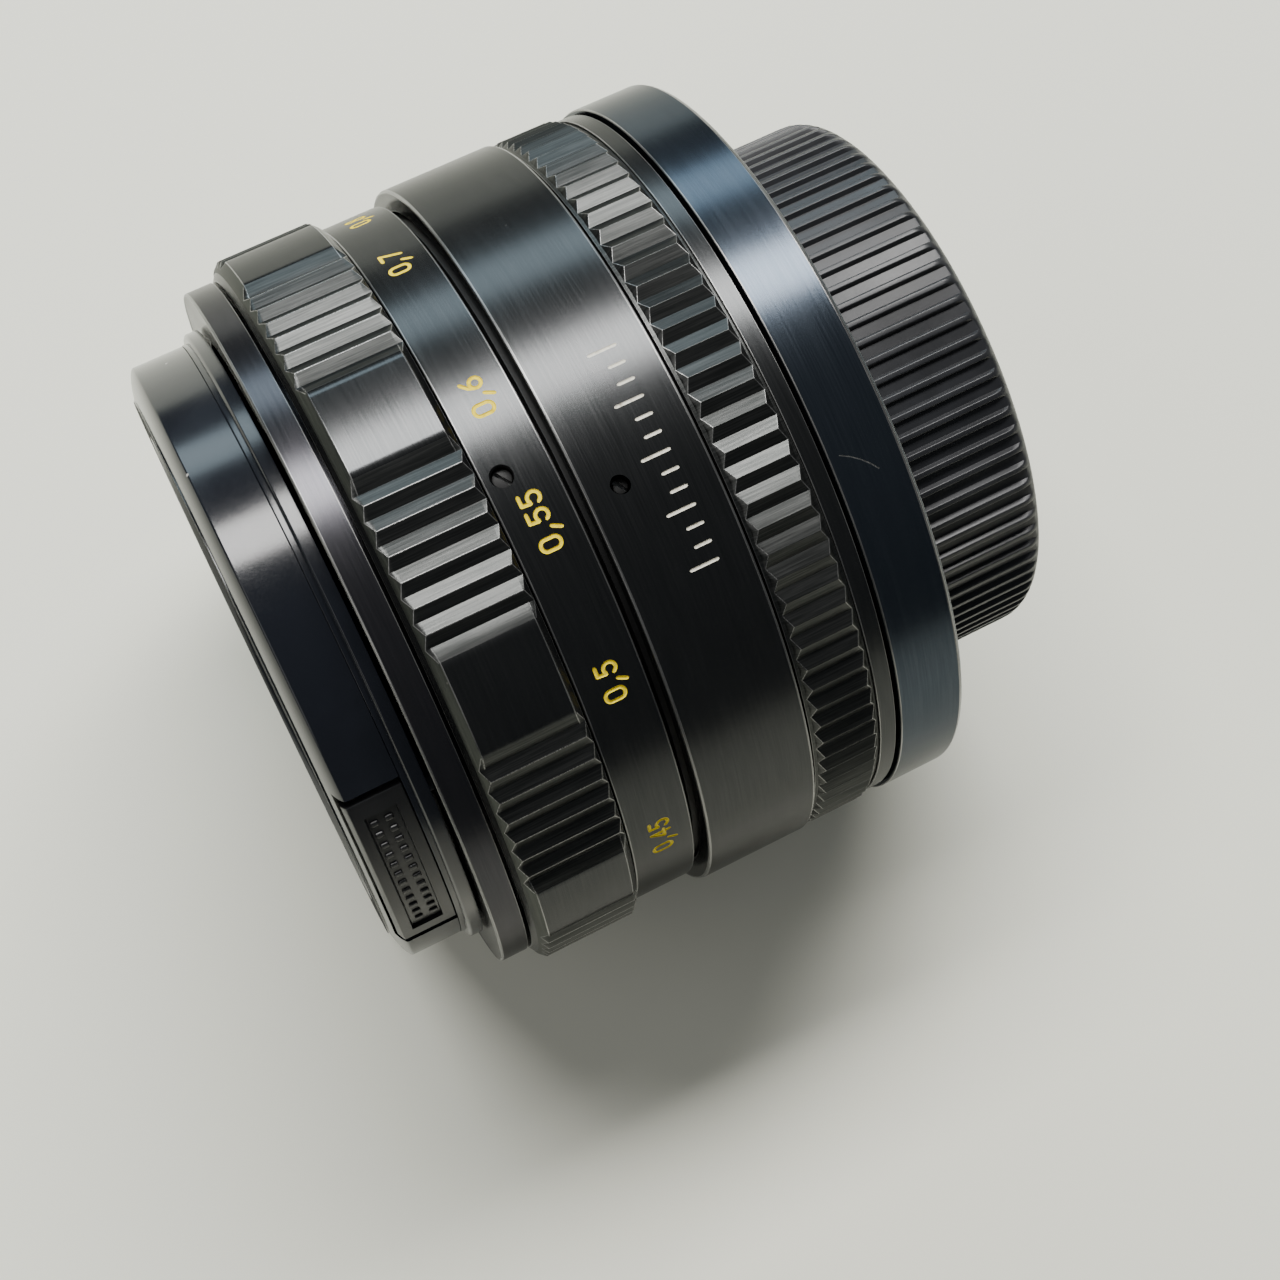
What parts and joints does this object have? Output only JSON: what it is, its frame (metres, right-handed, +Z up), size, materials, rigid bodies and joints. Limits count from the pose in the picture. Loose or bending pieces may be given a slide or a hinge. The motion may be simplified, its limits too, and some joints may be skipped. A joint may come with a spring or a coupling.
{
  "type": "prime camera lens",
  "caption": "Manual-focus standard prime lens with ribbed focus and aperture rings, pinch front cap and screw-on rear cap.",
  "frame": {"origin": "on the surface the lens lies on, under the middle of its length and its optical axis", "axes": "optical axis along Y with the front cap at -Y and the rear cap at +Y; +Z up, the lens lying on its side"},
  "size_m": [0.0635, 0.0612, 0.0635],
  "materials": {
    "anodised": "black satin anodised",
    "inside": "matt black inside",
    "bare": "machined",
    "cap_gloss": "glossy black",
    "cap_satin": "satin black",
    "steel": "fine brushed",
    "brass": "machined",
    "glass": "coated"
  },
  "bodies": {
    "lens_body": {"main_sleeve": "bare", "fixed_ring": "anodised", "fixed_grub_screw": "steel", "mount_housing": "anodised", "mount_thread": "bare", "rear_baffle": "inside", "pin_guide_plate": "inside", "mount_screw_1": "steel", "mount_screw_2": "steel", "mount_screw_3": "steel", "guide_key_1": "brass", "guide_key_2": "brass", "click_spring": "steel", "pin_spring": "steel"},
    "focus_ring": {"focus_grip": "anodised", "distance_scale_ring": "anodised", "helicoid_sleeve": "brass", "scale_grub_screw": "steel"},
    "optical_block": {"filter_ring": "anodised", "name_ring": "anodised", "front_retainer": "anodised", "lens_barrel": "inside", "lens_1_front": "glass", "lens_2_meniscus": "glass", "lens_3_negative": "glass", "lens_4_negative": "glass", "lens_5_positive": "glass", "lens_6_rear": "glass", "front_cell": "inside", "front_spacer": "inside", "rear_cell": "inside", "rear_spacer": "inside", "rear_retainer": "inside", "iris_housing": "inside", "iris_base_plate": "inside"},
    "iris_drive": {"iris_drive_ring": "brass", "iris_lever": "steel"},
    "aperture_ring": {"aperture_ring": "anodised", "aperture_cam_lug": "steel"},
    "click_ball": {"click_ball": "steel"},
    "stop_down_pin": {"stop_down_pin": "steel"},
    "rear_cap": {"rear_cap": "cap_satin"},
    "front_cap": {"front_cap_cover": "cap_gloss", "front_cap_plate": "cap_satin", "cap_spring_left": "steel", "cap_spring_right": "steel"},
    "cap_lever_left": {"cap_lever_left": "cap_satin"},
    "cap_lever_right": {"cap_lever_right": "cap_satin"},
    "iris_blade_1": {"iris_blade_1": "steel"},
    "iris_blade_2": {"iris_blade_2": "steel"},
    "iris_blade_3": {"iris_blade_3": "steel"},
    "iris_blade_4": {"iris_blade_4": "steel"},
    "iris_blade_5": {"iris_blade_5": "steel"},
    "iris_blade_6": {"iris_blade_6": "steel"}
  },
  "joints": [
    {"name": "focus_turn", "type": "hinge", "parent": "lens_body", "child": "focus_ring", "pos_m": [0, 0, 0.03179], "axis": [0, -1, 0], "range_deg": [0, 242]},
    {"name": "focus_travel", "type": "slide", "parent": "lens_body", "child": "optical_block", "axis": [0, -1, 0], "range_m": [0, 0.0073]},
    {"name": "aperture_turn", "type": "hinge", "parent": "lens_body", "child": "aperture_ring", "pos_m": [0, 0, 0.03179], "axis": [0, -1, 0], "range_deg": [0, 60]},
    {"name": "iris_drive_turn", "type": "hinge", "parent": "optical_block", "child": "iris_drive", "pos_m": [0, 0, 0.03179], "axis": [0, -1, 0], "range_deg": [0, 5]},
    {"name": "blade_swing_1", "type": "hinge", "parent": "optical_block", "child": "iris_blade_1", "pos_m": [0, 0.0003, 0.04839], "axis": [0, -1, 0], "range_deg": [0, 33]},
    {"name": "blade_swing_2", "type": "hinge", "parent": "optical_block", "child": "iris_blade_2", "pos_m": [-0.01438, 0.00065, 0.04009], "axis": [0, -1, 0], "range_deg": [0, 33]},
    {"name": "blade_swing_3", "type": "hinge", "parent": "optical_block", "child": "iris_blade_3", "pos_m": [-0.01438, 0.001, 0.02349], "axis": [0, -1, 0], "range_deg": [0, 33]},
    {"name": "blade_swing_4", "type": "hinge", "parent": "optical_block", "child": "iris_blade_4", "pos_m": [0, 0.0003, 0.01519], "axis": [0, -1, 0], "range_deg": [0, 33]},
    {"name": "blade_swing_5", "type": "hinge", "parent": "optical_block", "child": "iris_blade_5", "pos_m": [0.01438, 0.00065, 0.02349], "axis": [0, -1, 0], "range_deg": [0, 33]},
    {"name": "blade_swing_6", "type": "hinge", "parent": "optical_block", "child": "iris_blade_6", "pos_m": [0.01438, 0.001, 0.04009], "axis": [0, -1, 0], "range_deg": [0, 33]},
    {"name": "click_ball_press", "type": "slide", "parent": "lens_body", "child": "click_ball", "axis": [0.5, 0, 0.866], "range_m": [0, 0.0004], "stiffness_N_per_m": 1500, "springref_m": -0.0003, "deforming": ["click_spring"]},
    {"name": "stop_down_press", "type": "slide", "parent": "lens_body", "child": "stop_down_pin", "axis": [0, -1, 0], "range_m": [0, 0.002], "stiffness_N_per_m": 200, "springref_m": -0.003, "deforming": ["pin_spring"]},
    {"name": "rear_cap_off", "type": "slide", "parent": "lens_body", "child": "rear_cap", "axis": [0, 1, 0], "range_m": [0, 0.03]},
    {"name": "front_cap_off", "type": "slide", "parent": "optical_block", "child": "front_cap", "axis": [0, -1, 0], "range_m": [0, 0.03]},
    {"name": "lever_press_left", "type": "slide", "parent": "front_cap", "child": "cap_lever_left", "axis": [0.8763, 0, 0.4818], "range_m": [0, 0.002], "stiffness_N_per_m": 500, "springref_m": -0.0015, "deforming": ["cap_spring_left"]},
    {"name": "lever_press_right", "type": "slide", "parent": "front_cap", "child": "cap_lever_right", "axis": [-0.8763, 0, -0.4818], "range_m": [0, 0.002], "stiffness_N_per_m": 500, "springref_m": -0.0015, "deforming": ["cap_spring_right"]}
  ],
  "couplings": [
    {"joint": "focus_travel", "follows": "focus_turn", "m_per_rad": 0.001728},
    {"joint": "iris_drive_turn", "follows": "aperture_turn", "ratio": 0.08327},
    {"joint": "blade_swing_1", "follows": "aperture_turn", "ratio": 0.54833},
    {"joint": "blade_swing_2", "follows": "aperture_turn", "ratio": 0.54833},
    {"joint": "blade_swing_3", "follows": "aperture_turn", "ratio": 0.54833},
    {"joint": "blade_swing_4", "follows": "aperture_turn", "ratio": 0.54833},
    {"joint": "blade_swing_5", "follows": "aperture_turn", "ratio": 0.54833},
    {"joint": "blade_swing_6", "follows": "aperture_turn", "ratio": 0.54833}
  ]
}
